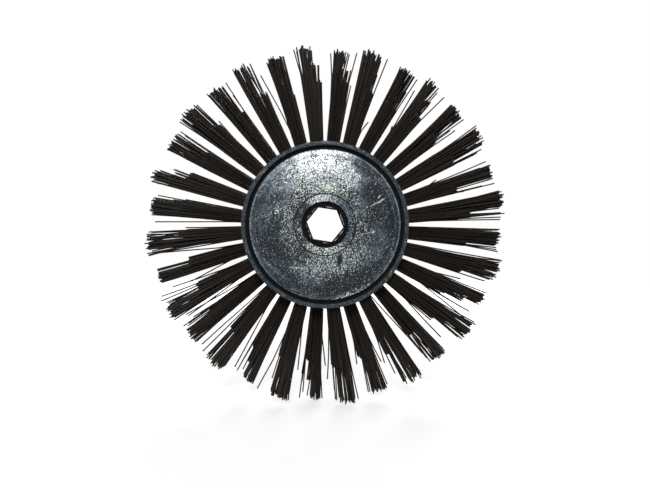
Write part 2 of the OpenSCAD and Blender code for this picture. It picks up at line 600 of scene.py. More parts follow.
@dataclass(frozen=True)
class Gate:
    """Sunk ring where the mould's gate was cut off, with a painted highlight as a pale dot inside it and
    another as a pale ring beside it.
    """

    place: Triple = (-0.0466, 0.0, 0.0108)
    # Shift of the painted highlight ring from the sunk ring.
    highlight_shift: Triple = (0.0008, 0.0, 0.0010)
    ring: Band = Band(0.0016, 4e-4, 5e-4)
    gate_highlight: Band = Band(0.0, 4e-4, 5e-4)
    centre_highlight_share: float = 0.6

    def masks(self, sheet: Sheet, place: Socket) -> tuple[Socket, Socket]:
        """Masks of the gate's parts.

        Args:
            sheet: The material's tree.
            place: Object coordinates.
        Returns:
            The sockets of the sunk ring's mask, and of the painted highlights: the pale dot inside it and the
            pale ring beside it.
        """
        flat = sheet.stretch(place, (1.0, 0.0, 1.0))
        away = sheet.vector("DISTANCE", flat, self.place).outputs["Value"]
        highlight_place = tuple(np.add(self.place, self.highlight_shift))
        beside = sheet.vector("DISTANCE", flat, highlight_place).outputs["Value"]
        gate_highlight = sheet.times(self.gate_highlight.mask(sheet, away), self.centre_highlight_share)
        return self.ring.mask(sheet, away), sheet.highest(gate_highlight, self.ring.mask(sheet, beside))


@dataclass
class Masks:
    """Masks that the colour, the gloss and the relief of turned plastic share."""

    radius: Socket
    rim: Socket
    cloud: Socket
    film: Socket
    grain: Socket
    specks: Socket
    scratch: Socket
    gate_highlight: Socket
    cut: Socket


@dataclass(frozen=True)
class TurnedPlastic(Finish):
    """Glossy black moulded plastic, turned in the mould, and filmed and dusty from use.

    The gloss is drawn out across fine concentric marks that a turned mould leaves, so that a lamp above shows
    as a fan of light over the axis and a fainter one under it. Past the radius where the rim begins, the
    plastic is satin. Its colour also holds painted light: a painted sheen where the film is laid over the top
    and the border, a painted highlight on the dome's rounded edge and a line beside it, brightest at the top,
    and painted highlights at the gate.
    """

    marks: Marks
    rim_start: float = 1.0
    rim_edge: float = 0.0004
    gate: Gate = Gate()
    # Colours.
    base: Colour = (0.0015, 0.0045, 0.009, 1)
    # Bluish greasy film, and a painted sheen where the film is laid at the top and on the border.
    film: Colour = (0.13, 0.20, 0.27, 1)
    dust: Colour = (0.54, 0.585, 0.55, 1)
    # Painted highlight of the dome's rounded edge and of the line beside it.
    edge_highlight: Colour = (0.33, 0.41, 0.46, 1)
    rim: Colour = (0.006, 0.009, 0.012, 1)
    rim_dirt: Colour = (0.075, 0.066, 0.042, 1)
    # The film, which is greasy and also a painted sheen where it is laid at the top and on the border:
    # where it lies, how uneven it is, and how much it colours and raises the surface.
    smears: Clouds = Clouds(115.0, 0.41, 0.66)
    wipes: Clouds = Clouds(1.0, 0.45, 0.70)
    wipe_stretch: Triple = (3.0, 3.0, 420.0)
    # The border's film is a painted sheen where the border catches the lamp.
    border: Band = Band(0.0690, 1.0e-3, 1.2e-3)
    border_film_and_sheen: Ramp = Ramp(0.0, 1.0, 0.03, 0.28)
    rim_film: float = 0.16
    film_least: float = 0.18
    film_uneven: float = 0.85
    film_colour: float = 0.35
    film_relief: float = 0.2
    # The grain, and the specks and pits that it makes.
    grain_size: float = 1.3e-3
    grain_depth: float = 2.4e-4
    clean_specks: float = 0.12
    dust_specks: float = 0.70
    speck_light: float = 0.60
    dust_light: float = 0.5
    rim_specks: Ramp = Ramp(0.0, 1.0, 1.0, 0.45)
    pits: Ramp = Ramp(0.38, 0.47, 0.9, 0.0)
    # The seam round the boss, the painted highlight on the dome's edge and the line beside it, the dirt on the
    # rim and the scratches.
    seam: Band = Band(0.0292, 4e-4, 3e-4)
    seam_cloud: Ramp = Ramp(0.0, 0.7, 0.9, 1.0)
    # Painted highlight on the dome's rounded edge, a fainter painted highlight line beside it, and how it grows
    # towards the top.
    edge: Band = Band(0.0710, 5e-4, 7e-4)
    highlight_line: Band = Band(0.0663, 2e-4, 4e-4)
    highlight_line_share: float = 0.4
    edge_highlight_by_height: Ramp = Ramp(-0.076, -0.03, 0.1, 1.0)
    edge_highlight_cloud: Ramp = Ramp(0.0, 1.0, 0.18, 0.40)
    dirt: Clouds = Clouds(75.0, 0.56, 0.74)
    scratch_light: float = 0.65
    # The gloss, what dulls it, and how far it is drawn out.
    gloss: float = 0.27
    rim_gloss: float = 0.50
    film_dulls: float = 0.04
    cut_dulls: float = 0.35
    drawn_out: float = 0.85
    drawn_turn: float = 0.25
    reflection: float = 0.155
    # The coat of grease, and how deep the cuts are.
    grease: float = 1.3
    grease_gloss: float = 0.24
    grease_breaks: Ramp = Ramp(0.42, 0.56, 0.10, 1.0)
    cut_depth: float = 1.0e-4
    cut_strength: float = 0.6

    def masks(self, sheet: Sheet, place: Socket) -> Masks:
        """Works out where the film with its painted sheen, the dust, the painted gate highlights and the cuts
        lie.

        The film is a share that the marks and the border set, times a sum of smears and wiped rings. Where it
        is laid at the top and on the border, it is a painted sheen as well as a greasy film. The specks grow in
        number and in light with the dust that has settled. The cuts are the gate's ring, the seam round the
        boss, the nicks and the pits of the grain.

        Args:
            sheet: The material's tree.
            place: Object coordinates.
        Returns:
            The masks.
        """
        turned = TURNED.place(sheet, {"Place": place})
        radius = turned["Radius"]
        rim = sheet.step(radius, self.rim_start, self.rim_start + self.rim_edge)
        cloud = self.smears.mask(sheet, place)
        wiped = self.wipes.mask(sheet, sheet.stretch(turned["Turned"], self.wipe_stretch))
        clean = sheet.minus(1.0, self.marks.mask(sheet, place, MarkKind.CLEAN))
        border = self.border_film_and_sheen.of(sheet, self.border.mask(sheet, radius))
        lies = sheet.plus(border, self.marks.mask(sheet, place, MarkKind.FILM))
        lies = sheet.highest(lies, sheet.times(rim, self.rim_film))
        spread = sheet.plus(self.film_least, sheet.times(sheet.plus(cloud, wiped), self.film_uneven))
        settled = sheet.times(self.marks.mask(sheet, place, MarkKind.DUST), clean)
        share = sheet.plus(sheet.times(clean, self.clean_specks), sheet.times(settled, self.dust_specks))
        grain = GRAIN.place(sheet, {"Place": place, "Size": self.grain_size, "Share": share})
        light = sheet.plus(self.speck_light, sheet.times(settled, self.dust_light))
        sunk, gate_highlight = self.gate.masks(sheet, place)
        seam = sheet.times(self.seam.mask(sheet, radius), self.seam_cloud.of(sheet, cloud))
        nick = sheet.highest(self.marks.mask(sheet, place, MarkKind.NICK), sunk, seam)
        return Masks(
            radius=radius,
            rim=rim,
            cloud=cloud,
            film=sheet.times(spread, sheet.times(lies, clean)),
            grain=grain["Height"],
            specks=sheet.times(grain["Specks"], light, self.rim_specks.of(sheet, rim)),
            scratch=self.marks.mask(sheet, place, MarkKind.SCRATCH),
            gate_highlight=gate_highlight,
            cut=sheet.highest(nick, self.pits.of(sheet, grain["Height"])),
        )

    def colour(self, sheet: Sheet, place: Socket, masks: Masks) -> Socket:
        """Lays the colours over each other: rim, film with painted sheen, painted edge highlight, specks with
        scratches and painted gate highlights, and cuts on top.

        The painted highlight on the dome's rounded edge is brightest at the top of the moulding, and a fainter
        painted highlight line lies beside it.

        Args:
            sheet: The material's tree.
            place: Object coordinates.
            masks: The masks at that place.
        Returns:
            The colour's socket.
        """
        dirty = sheet.blend(self.dirt.mask(sheet, place), self.rim, self.rim_dirt)
        under = sheet.blend(masks.rim, self.base, dirty)
        # Film colour: a greasy film, and a painted sheen where it is laid at the top and on the border.
        filmed = sheet.blend(sheet.lowest(sheet.times(masks.film, self.film_colour), 1.0), under, self.film)
        # Painted highlight on the dome's edge and the line beside it, brightest towards the top.
        highlight_line = sheet.times(self.highlight_line.mask(sheet, masks.radius), self.highlight_line_share)
        rubbed_and_highlight = sheet.highest(self.edge.mask(sheet, masks.radius), highlight_line)
        height = sheet.split(place)[2]
        highlight_by_height = sheet.times(self.edge_highlight_by_height.of(sheet, height), rubbed_and_highlight)
        paled = sheet.times(highlight_by_height, self.edge_highlight_cloud.of(sheet, masks.cloud))
        # Pale: dust specks, the painted gate highlights and scratches.
        pale = sheet.highest(masks.specks, masks.gate_highlight, sheet.times(masks.scratch, self.scratch_light))
        dusted = sheet.blend(pale, sheet.blend(paled, filmed, self.edge_highlight), self.dust)
        return sheet.blend(masks.cut, dusted, self.base)

    def relief(self, sheet: Sheet, masks: Masks) -> Socket:
        """Raises the film a little, sinks the cuts and the scratches, and puts the grain over them."""
        sunk = sheet.minus(sheet.times(masks.film, self.film_relief), sheet.plus(masks.scratch, masks.cut))
        coarse = sheet.bump(sunk, self.cut_depth, self.cut_strength)
        return sheet.bump(masks.grain, self.grain_depth, 1.0, coarse)

    def draw(self, sheet: Sheet, surface: bpy.types.Node, place: Socket) -> None:
        """Feeds the surface. The film also sets a coat of grease, which the grain and the cuts break up.

        Args:
            sheet: The material's tree.
            surface: Its Principled BSDF.
            place: Object coordinates.
        """
        masks = self.masks(sheet, place)
        satin = sheet.step(masks.rim, 0.0, 1.0, self.gloss, self.rim_gloss)
        dull = sheet.times(masks.film, self.film_dulls)
        broken = self.grease_breaks.of(sheet, masks.grain)
        grease = sheet.times(masks.film, self.grease, broken, sheet.minus(1.0, masks.cut))
        sheet.feed(surface, {
            "Base Color": self.colour(sheet, place, masks),
            "Roughness": sheet.plus(satin, dull, sheet.times(masks.cut, self.cut_dulls)),
            "Coat Weight": sheet.lowest(grease, 1.0),
            "Coat Roughness": self.grease_gloss,
            "Specular IOR Level": self.reflection,
            "Anisotropic": self.drawn_out,
            "Anisotropic Rotation": self.drawn_turn,
            "Tangent": sheet.add("ShaderNodeTangent", direction_type="RADIAL", axis="Y").outputs["Tangent"],
            "Normal": self.relief(sheet, masks),
        })


@dataclass(frozen=True)
class GrooveShadeAndDirt(Finish):
    """Painted shade in the bottom of a cover's groove, where little light reaches: a matte black, with a few
    olive smudges of dirt.
    """

    # The black is the painted shade of the deep groove.
    black: Colour = (0.0035, 0.0045, 0.005, 1)
    olive: Colour = (0.035, 0.034, 0.018, 1)
    smudges: Clouds = Clouds(38.0, 0.60, 0.76)
    crust_scale: float = 900.0
    crust_detail: float = 3.0
    crust_gloss: Ramp = Ramp(0.3, 0.7, 0.75, 0.95)
    crust_depth: float = 1.5e-4
    crust_strength: float = 0.7
    reflection: float = 0.05

    def draw(self, sheet: Sheet, surface: bpy.types.Node, place: Socket) -> None:
        """Smudges of dirt lie on the black of the painted shade, which has a coarse crust.

        Args:
            sheet: The material's tree.
            surface: Its Principled BSDF.
            place: Object coordinates.
        """
        crust = sheet.noise(place, self.crust_scale, self.crust_detail)
        sheet.feed(surface, {
            "Base Color": sheet.blend(self.smudges.mask(sheet, place), self.black, self.olive),
            "Roughness": self.crust_gloss.of(sheet, crust),
            "Specular IOR Level": self.reflection,
            "Normal": sheet.bump(crust, self.crust_depth, self.crust_strength),
        })


@dataclass(frozen=True)
class MatteBush(Finish):
    """Matte black plastic of the bush, with pale strips on the countersink of its hexagonal bore: painted
    glints, where it is also rubbed glossier.
    """

    base: Colour = (0.0052, 0.0052, 0.0060, 1)
    # Colour of the painted glints on the countersink.
    glint_grey: Colour = (0.34, 0.34, 0.34, 1)
    first_side: float = 21
    side_turns: Triple = (0, 60, 120)
    edge: Band = Band(0.0169, 0.0002, 3e-4)
    sink: Ramp = Ramp(0.0177, 0.0177 + 6e-4, 1.0, 0.0)
    rubs_and_glints: Clouds = Clouds(110.0, 0.44, 0.60)
    rub_gloss: Ramp = Ramp(0.0, 1.0, 0.62, 0.34)
    grain_size: float = 9e-4
    grain_share: float = 0.2
    grain_depth: float = 6e-5
    grain_strength: float = 0.7
    speck_light: float = 0.06

    def side_distance(self, sheet: Sheet, place: Socket) -> Socket:
        """Distance from the axis square to the hexagon's sides.

        It is the largest size of the place along three directions, 60 degrees apart.

        Args:
            sheet: The material's tree.
            place: Object coordinates.
        Returns:
            The distance's socket.
        """
        sizes = []
        for turn in self.side_turns:
            angle = math.radians(self.first_side) + math.radians(turn)
            square = (math.cos(angle), 0.0, math.sin(angle))
            along = sheet.vector("DOT_PRODUCT", place, square).outputs["Value"]
            sizes.append(sheet.maths("ABSOLUTE", along))
        return sheet.highest(*sizes)

    def draw(self, sheet: Sheet, surface: bpy.types.Node, place: Socket) -> None:
        """The dull base has a little dust in its grain, and the countersink has pale strips along each side:
        painted glints, where it is also rubbed glossier.

        Args:
            sheet: The material's tree.
            surface: Its Principled BSDF.
            place: Object coordinates.
        """
        grain = GRAIN.place(sheet, {"Place": place, "Size": self.grain_size, "Share": self.grain_share})
        radius = TURNED.place(sheet, {"Place": place})["Radius"]
        # Painted glints: pale strips along each side of the hexagon within the countersink, broken into
        # patches.
        band = self.edge.mask(sheet, self.side_distance(sheet, place))
        paled = sheet.times(band, self.sink.of(sheet, radius), self.rubs_and_glints.mask(sheet, place))
        share = sheet.plus(sheet.times(grain["Specks"], self.speck_light), paled)
        sheet.feed(surface, {
            "Base Color": sheet.blend(share, self.base, self.glint_grey),
            "Roughness": self.rub_gloss.of(sheet, paled),
            "Specular IOR Level": 0.0,
            "Normal": sheet.bump(grain["Height"], self.grain_depth, self.grain_strength),
        })


@dataclass(frozen=True)
class DrawnWire(Finish):
    """Dark drawn steel wire: each has its own tone, with streaks along it, rubbed places and dusty ends."""

    dark: Colour = (0.0038, 0.0027, 0.0018, 1)
    brown: Colour = (0.0130, 0.0088, 0.0060, 1)
    rubbed_and_highlight: Colour = (0.08, 0.073, 0.065, 1)
    dust: Colour = (0.050, 0.048, 0.045, 1)
    streak_stretch: Triple = (3.0, 60.0, 1.0)
    streak_detail: float = 2.0
    streak_share: float = 0.4
    streak_depth: float = 4e-5
    streak_strength: float = 0.5
    tone_share: float = 0.7
    rubs_and_glints: Clouds = Clouds(160.0, 0.60, 0.80)
    rub_share: float = 0.4
    rub_gloss: Ramp = Ramp(0.0, 1.0, 0.52, 0.38)
    dust_least: float = 0.05
    dust_by_tone: float = 0.35
    reflection: float = 0.065

    def draw(self, sheet: Sheet, surface: bpy.types.Node, place: Socket) -> None:
        """The wire's tone and its streaks mix the dark and the brown, and dust and rubs are paler.

        Args:
            sheet: The material's tree.
            surface: Its Principled BSDF.
            place: Object coordinates.
        """
        tone = sheet.add("ShaderNodeAttribute", attribute_name="tone").outputs["Fac"]
        paled = sheet.add("ShaderNodeAttribute", attribute_name="paled").outputs["Fac"]
        along = sheet.add("ShaderNodeUVMap", uv_map="wire").outputs["UV"]
        streak = sheet.noise(sheet.stretch(along, self.streak_stretch), 1.0, self.streak_detail)
        rub = self.rubs_and_glints.mask(sheet, place)
        share = sheet.plus(sheet.times(tone, self.tone_share), sheet.times(streak, self.streak_share))
        drawn = sheet.blend(sheet.lowest(share, 1.0), self.dark, self.brown)
        dusty = sheet.times(paled, sheet.plus(sheet.times(share, self.dust_by_tone), self.dust_least))
        pale = sheet.times(rub, sheet.times(tone, self.rub_share))
        sheet.feed(surface, {
            "Base Color": sheet.blend(pale, sheet.blend(dusty, drawn, self.dust), self.rubbed_and_highlight),
            "Roughness": self.rub_gloss.of(sheet, rub),
            "Specular IOR Level": self.reflection,
            "Normal": sheet.bump(streak, self.streak_depth, self.streak_strength),
        })


@dataclass(frozen=True)
class FlatSteel(Finish):
    """Bright flat wire of the anchors, with rolling marks and a few dull spots."""

    bright: Colour = (0.45, 0.45, 0.44, 1)
    dull: Colour = (0.16, 0.15, 0.14, 1)
    spots: Clouds = Clouds(300.0, 0.45, 0.7)
    spot_gloss: Ramp = Ramp(0.0, 1.0, 0.28, 0.5)
    roll_stretch: Triple = (900.0, 60.0, 900.0)
    roll_detail: float = 2.0
    roll_depth: float = 2e-5
    roll_strength: float = 0.5

    def draw(self, sheet: Sheet, surface: bpy.types.Node, place: Socket) -> None:
        """Patches mix the bright and the dull steel, and set the gloss.

        Args:
            sheet: The material's tree.
            surface: Its Principled BSDF.
            place: Object coordinates.
        """
        spots = self.spots.mask(sheet, place)
        rolled = sheet.noise(sheet.stretch(place, self.roll_stretch), 1.0, self.roll_detail)
        sheet.feed(surface, {
            "Base Color": sheet.blend(spots, self.bright, self.dull),
            "Roughness": self.spot_gloss.of(sheet, spots),
            "Metallic": 1.0,
            "Normal": sheet.bump(rolled, self.roll_depth, self.roll_strength),
        })


def seen_ray(sheet: Sheet) -> Socket:
    """1 for rays from the camera and for those that gloss and glass send out, else 0."""
    rays = sheet.add("ShaderNodeLightPath").outputs
    return sheet.highest(rays["Is Camera Ray"], rays["Is Glossy Ray"], rays["Is Transmission Ray"])


@dataclass(frozen=True)
class WhiteStage(Finish):
    """Pale floor that is seen as white, and that keeps a soft shadow round the brush."""

    glow: float = 0.62
    shadow_share: float = 0.33
    fade_start: float = 0.5
    fade_end: float = 1.2
    pale: Colour = (0.80, 0.80, 0.80, 1)

    def draw(self, sheet: Sheet, surface: bpy.types.Node, place: Socket) -> None:
        """Rays that are seen meet a glow with a little matte white in it, and the others plain matte white.

        The glow grows to full white with the distance from the brush, so that the floor has no visible end.

        Args:
            sheet: The material's tree.
            surface: Its Principled BSDF.
            place: Object coordinates.
        """
        away = sheet.vector("LENGTH", place).outputs["Value"]
        faded = sheet.step(away, self.fade_start, self.fade_end, self.glow, 1.0)
        glow = sheet.add("ShaderNodeEmission", {"Color": faded}).outputs["Emission"]
        keeps = sheet.add("ShaderNodeBsdfDiffuse", {"Color": (self.shadow_share,) * 3 + (1,)}).outputs["BSDF"]
        both = sheet.add("ShaderNodeAddShader", {0: glow, 1: keeps}).outputs["Shader"]
        matte = sheet.add("ShaderNodeBsdfDiffuse", {"Color": self.pale}).outputs["BSDF"]
        choice = sheet.add("ShaderNodeMixShader", {"Fac": seen_ray(sheet), 1: matte, 2: both})
        sheet.feed(sheet.tree.nodes["Material Output"], {"Surface": choice.outputs["Shader"]})
        sheet.tree.nodes.remove(surface)


# ---------------------------------------------------------------- meshes


def mesh_piece(
    name: str,
    points: np.ndarray,
    faces: list[list[int]],
    finish: Finish,
    sharp_angle: float = math.radians(35),
) -> bpy.types.Object:
    """Makes a piece with its place in its mesh.

    Args:
        name: Name of the piece.
        points: Its vertices, one row each.
        faces: Vertex numbers of each face, counter-clockwise seen from outside.
        finish: What it is made of.
        sharp_angle: Edges that turn by more than this, in radians, stay sharp.
    Returns:
        The new object.
    """
    mesh = bpy.data.meshes.new(name)
    mesh.from_pydata(points.tolist(), [], faces)
    mesh.polygons.foreach_set("use_smooth", np.ones(len(faces), bool))
    mesh.set_sharp_from_angle(angle=sharp_angle)
    mesh.materials.append(finish.material())
    piece = bpy.data.objects.new(name, mesh)
    bpy.context.scene.collection.objects.link(piece)
    return piece


def loop_quads(rings: int, around: int, closed: bool) -> np.ndarray:
    """Quads that join each ring of a grid to the next.

    Vertex (i, j) has the number i * around + j. Quad (i, j) joins (i, j), (i, j + 1), (i + 1, j + 1) and
    (i + 1, j), where j + 1 wraps round the ring, and i + 1 wraps too when the grid is closed.

    Args:
        rings: Number of rings.
        around: Vertices in each ring.
        closed: Whether the last ring joins the first.
    Returns:
        An array of vertex numbers, four a quad.
    """
    i, j = np.meshgrid(np.arange(rings if closed else rings - 1), np.arange(around), indexing="ij")
    after, beside = (i + 1) % rings, (j + 1) % around
    corners = (i * around + j, i * around + beside, after * around + beside, after * around + j)
    return np.stack(corners, axis=-1).reshape(-1, 4)


# ---------------------------------------------------------------- the drum


@dataclass(frozen=True)
class BrushSizes:
    """Sizes that several pieces share, read from the CAD nodes."""

    drum_radius: float
    reach: float
    row_place: float
    cover_radius: float
    seat_height: float
    crown_height: float

    @classmethod
    def from_frame(cls) -> "BrushSizes":
        """Reads the nodes' boxes, whose corners give half sizes, as the hub's centre is at the origin.

        Returns:
            The sizes.
        """
        cover_low, cover_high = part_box("front_cover")
        anchors_low, anchors_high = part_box("rear_anchors")
        low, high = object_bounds()
        return cls(
            drum_radius=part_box("drum_core")[1].x,
            reach=min(high.x, high.z, -low.x, -low.z),
            row_place=(anchors_low.y + anchors_high.y) / 2,
            cover_radius=cover_high.x,
            seat_height=-cover_high.y,
            crown_height=-cover_low.y,
        )


@dataclass(frozen=True)
class DressedNode:
    """A CAD node that keeps its shape and gets a finish."""

    node: str
    slot: Slot
    finish: Finish

    def dress(self) -> None:
        """Puts the finish in each of the node's material slots."""
        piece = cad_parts[self.node]
        if not piece.data.materials:
            piece.data.materials.append(None)
        for place in piece.material_slots:
            place.material = self.finish.material()
        logging.info("%s: CAD node in %s", self.node, self.finish.name)


# Each row: x, z, turn, half length, half width, strength and, for some, unevenness.
DRUM_MARKS = Marks({
    MarkKind.FILM: (
        # The first film mark, on top of the boss, is also a painted sheen where the lamp's highlight falls.
        (-0.002, 0.026, 0, 0.026, 0.012, 1.2),
        (0.022, 0.014, 60, 0.018, 0.009, 0.8),
        (0.022, -0.016, -60, 0.016, 0.008, 0.5),
    ),
    MarkKind.DUST: (
        (-0.004, 0.025, 10, 0.022, 0.014, 1.0),
        (0.002, -0.025, -10, 0.028, 0.014, 1.0),
        (0.025, 0.004, 90, 0.020, 0.007, 0.25),
        (-0.025, -0.008, 80, 0.018, 0.007, 0.4),
    ),
})
COVER_MARKS = {
    Face.FRONT: Marks({
        # Film marks; those over the top also paint a sheen where the lamp's highlight falls.
        MarkKind.FILM: (
            (-0.048, 0.013, 80, 0.038, 0.020, 0.42),
            (0.000, 0.062, -4, 0.046, 0.032, 1.5),
            (-0.038, 0.046, 40, 0.038, 0.022, 1.1),
            (0.0275, 0.0430, -35, 0.027, 0.0115, 1.6),
            (-0.012, -0.053, -20, 0.020, 0.0060, 0.7),
            (-0.049, -0.0415, -38, 0.022, 0.0035, 1.3),
            (0.032, 0.016, 60, 0.022, 0.012, 0.50),
            (-0.030, -0.050, -40, 0.036, 0.014, 0.15),
            (0.048, -0.018, 70, 0.030, 0.018, 0.40),
            (0.000, -0.034, 10, 0.044, 0.016, 0.45),
        ),
        MarkKind.CLEAN: (
            (0.0385, 0.0540, -35, 0.024, 0.0100, 0.9),
            (0.0470, 0.0297, -25, 0.023, 0.0135, 1.0),
            (-0.050, -0.011, 75, 0.028, 0.012, 0.8),
            (-0.045, -0.044, -45, 0.032, 0.016, 0.5),
            (0.064, 0.004, 88, 0.026, 0.009, 0.9),
            (0.018, -0.058, 10, 0.048, 0.011, 0.85),
        ),
        MarkKind.DUST: (
            (0.006, -0.035, 16, 0.056, 0.020, 0.64),
            (-0.001, 0.035, 0, 0.030, 0.010, 1.0),
            (0.000, 0.042, 0, 0.056, 0.034, 0.75),
            (-0.026, 0.006, 90, 0.044, 0.032, 0.50),
            (0.028, 0.004, 90, 0.034, 0.020, 0.42),
            (0.028, -0.064, 24, 0.042, 0.006, 0.8),
        ),
        MarkKind.SCRATCH: (
            (0.0495, 0.0208, 27, 0.0110, 0.0007, 0.9, 0.9),
            (0.0528, 0.0225, 40, 0.0044, 0.0012, 1.0, 1.0),
            (0.0515, 0.0265, 55, 0.0024, 0.0009, 1.0, 0.8),
            (0.0375, -0.0085, 13, 0.0110, 0.0006, 0.6, 0.7),
            (0.0455, -0.0070, 40, 0.0024, 0.0012, 1.0, 0.6),
            (-0.0250, -0.0410, -6, 0.0130, 0.0008, 0.6, 0.8),
        ),
        MarkKind.NICK: (
            (0.0138, -0.0338, 84, 0.0095, 0.0040, 1.0, 0.4),
        ),
    }),
    Face.REAR: Marks({
        MarkKind.FILM: (
            (0.040, 0.020, 75, 0.034, 0.018, 0.6),
            (-0.028, -0.044, -35, 0.036, 0.014, 0.6),
        ),
        MarkKind.CLEAN: (
            (-0.050, 0.020, 60, 0.024, 0.012, 1.0),
        ),
        MarkKind.DUST: (
            (0.004, -0.046, -12, 0.046, 0.016, 0.9),
            (-0.006, 0.044, 8, 0.040, 0.022, 0.7),
        ),
        MarkKind.SCRATCH: (
            (-0.0410, 0.0300, -20, 0.0090, 0.0005, 0.6),
            (0.0280, -0.0400, 40, 0.0060, 0.0006, 0.8),
        ),
    }),
}


@dataclass(frozen=True)
class Cover:
    """Domed cover of one side of the drum, as a closed surface of revolution."""

    sizes: BrushSizes
    face: Face
    finish: Finish
    # Finish of the groove's bottom: painted shade, with dirt smudges.
    groove_shade_finish: Finish
    hole_radius: float = 0.02915
    hole_round: float = 0.0003
    collar_wall: float = 0.004
    dome_wall: float = 0.003
    groove_width: float = 0.0036
    edge_thickness: float = 0.0025
    border_height: float = 0.003
    border_width: float = 0.0045
    shoulder_width: float = 0.003
    shoulder_fall: float = 0.00018
    dome_round: float = 0.001
    small_round: float = 0.0003
    ripple: float = 0.00002
    ripple_start: float = 0.01
    waves: tuple[Triple, ...] = ((3, 90, 0), (5, -210, 1), (8, 0, 0))
    tolerance: float = 1e-6
    around: int = 256
    dome_rings: int = 44
    shoulder_rings: int = 9
    border_rings: int = 5

    def dome_height(self, radius: np.ndarray) -> np.ndarray:
        """Height of the dome's outer surface above the mid plane.

        It is the border's height, plus a shoulder that eases from its full fall to nothing as one minus a
        cosine, plus a crown that falls with the square of the distance from the boss, to the dome's edge.

        Args:
            radius: Distances from the axis.
        Returns:
            The heights.
        """
        dome = self.sizes.cover_radius - self.groove_width
        foot = dome - self.border_width
        start = foot - self.shoulder_width
        border = self.sizes.seat_height + self.edge_thickness + self.border_height
        crown = self.sizes.crown_height - border - self.shoulder_fall
        eased = (1 - np.cos(np.pi * np.clip((radius - start) / self.shoulder_width, 0, 1))) / 2
        far = np.clip((radius - self.hole_radius) / (dome - self.hole_radius), 0, 1)
        return border + self.shoulder_fall * (1 - eased) + crown * (1 - far**2)

    @staticmethod
    def corner(centre: Span, size: float, start: float, turn: float, points: int = 6) -> np.ndarray:
        """Points of a rounded corner: the centre plus size times (cosine, sine), over the turn in degrees.

        Args:
            centre: Radius and height of the corner's centre.
            size: Its rounding.
            start: Angle of the first point.
            turn: Angle from the first point to the last.
            points: How many.
        Returns:
            The points as rows of radius and height.
        """
        angle = np.radians(start + turn * np.linspace(0, 1, points))
        return np.column_stack((centre[0] + size * np.cos(angle), centre[1] + size * np.sin(angle)))

    def section(self) -> tuple[np.ndarray, int, int]:
        """The cover's section as (radius, height) points: up the collar, over the dome and back under it.

        Returns:
            The points, and the numbers of the first and the last point of the groove.
        """
        seat = self.sizes.seat_height
        edge = seat + self.edge_thickness
        outer, dome = self.sizes.cover_radius, self.sizes.cover_radius - self.groove_width
        small, mouth = self.small_round, self.hole_radius + self.hole_round
        inside, wall = self.hole_radius + self.collar_wall, dome - self.dome_wall
        foot, brink = dome - self.border_width, dome - self.dome_round
        start = foot - self.shoulder_width
        over = np.concatenate((
            np.linspace(mouth, start, self.dome_rings),
            np.linspace(start, foot, self.shoulder_rings)[1:],
            np.linspace(foot, brink, self.border_rings)[1:-1],
        ))
        under = np.linspace(wall, inside, self.dome_rings // 2)
        top, rim = self.dome_height(np.array([mouth, brink]))
        before = np.concatenate((
            [[self.hole_radius, seat]],
            self.corner((mouth, top - self.hole_round), self.hole_round, 180, -90),
            np.column_stack((over, self.dome_height(over)))[1:],
            self.corner((brink, rim - self.dome_round), self.dome_round, 90, -90),
        ))
        groove = np.concatenate((
            self.corner((dome + small, edge + small), small, 180, 90),
            self.corner((outer - small, edge - small), small, 90, -90),
        ))
        after = np.concatenate((
            [[outer, seat], [wall, seat]],
            np.column_stack((under, self.dome_height(under) - self.dome_wall)),
            [[inside, seat]],
        ))
        return np.concatenate((before, groove, after)), len(before) - 1, len(before) + len(groove) - 1

    def build(self) -> None:
        """Carries the section round the axis.

        A point at angle a is (radius cos a, face sign times height, radius sin a). The dome's outer surface
        is also sunk by a ripple of up to 0.12 mm, as cooling leaves: a sum of slow waves, each the cosine of
        a count times the angle plus a slope times the radius plus a shift.
        """
        section, groove_start, groove_end = self.section()
        angle = np.linspace(0, 2 * np.pi, self.around, endpoint=False)
        radius = np.repeat(section[:, :1], self.around, axis=1)
        height = np.repeat(section[:, 1:], self.around, axis=1)
        waves = sum(np.cos(count * angle + slope * radius + shift) for count, slope, shift in self.waves)
        sunk = self.ripple * (waves - len(self.waves))
        outside = height >= self.sizes.seat_height + self.edge_thickness + self.border_height - self.tolerance
        grown = np.clip((radius - self.hole_radius) / self.ripple_start, 0, 1)
        height = height + np.where(outside, sunk * grown, 0)
        points = np.stack((radius * np.cos(angle), self.face.value * height, radius * np.sin(angle)), axis=-1)
        quads = loop_quads(len(section), self.around, closed=True)
        if self.face is Face.FRONT:
            quads = quads[:, ::-1]
        node = self.face.node("cover")
        piece = mesh_piece(f"{node}_shell", points.reshape(-1, 3), quads.tolist(), self.finish)
        # The groove's faces take the painted shade.
        piece.data.materials.append(self.groove_shade_finish.material())
        ring = np.repeat(np.arange(len(section)), self.around)
        in_groove = (ring >= groove_start) & (ring < groove_end)
        piece.data.polygons.foreach_set("material_index", in_groove.astype(np.int32))
        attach(piece, BODY)
        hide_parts(node)
        logging.info("%s: %d faces", piece.name, len(piece.data.polygons))


# ---------------------------------------------------------------- the tufts


